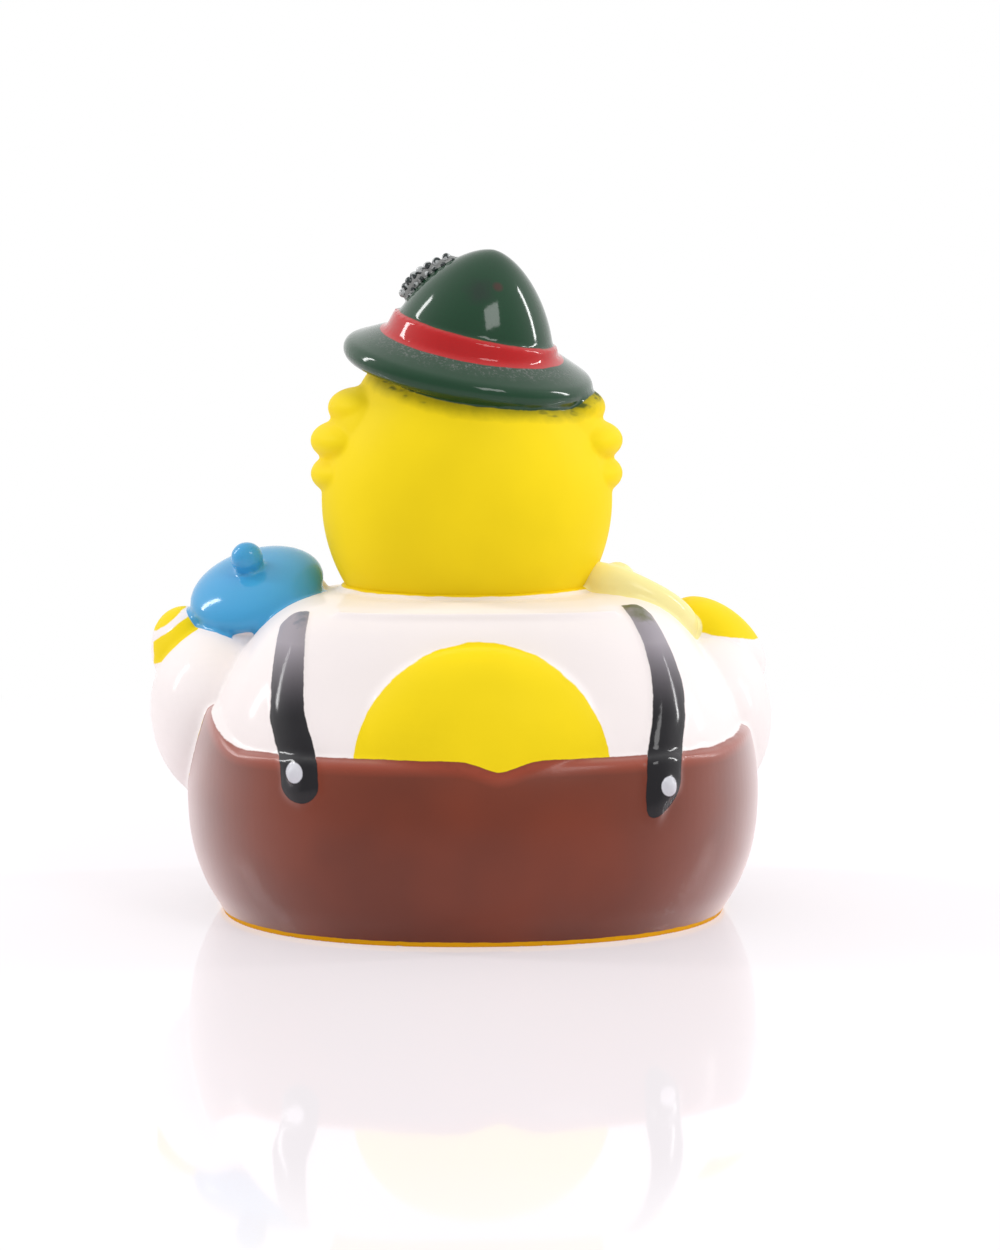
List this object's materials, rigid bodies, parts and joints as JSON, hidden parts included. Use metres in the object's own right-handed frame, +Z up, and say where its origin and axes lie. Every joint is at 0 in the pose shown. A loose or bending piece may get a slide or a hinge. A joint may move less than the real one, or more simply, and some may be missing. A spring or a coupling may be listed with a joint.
{
  "type": "rubber bath duck",
  "caption": "Yellow vinyl bath duck in a green hat, white shirt, brown shorts and black braces, holding a lidded mug and a pretzel, with a whistle in its base.",
  "frame": {"origin": "on the table, under the middle of the duck", "axes": "+Z up, +Y out of the bill, +X to the duck's right, which is the side with the pretzel"},
  "size_m": [0.08, 0.0711, 0.0832],
  "materials": {
    "painted_vinyl": "matte yellow vinyl with sprayed and brushed paint",
    "plug_plastic": "matte",
    "reed_metal": "satin"
  },
  "bodies": {
    "root": {"duck_body": "painted_vinyl", "whistle_plug": "plug_plastic", "whistle_reed": "reed_metal"}
  },
  "joints": []
}
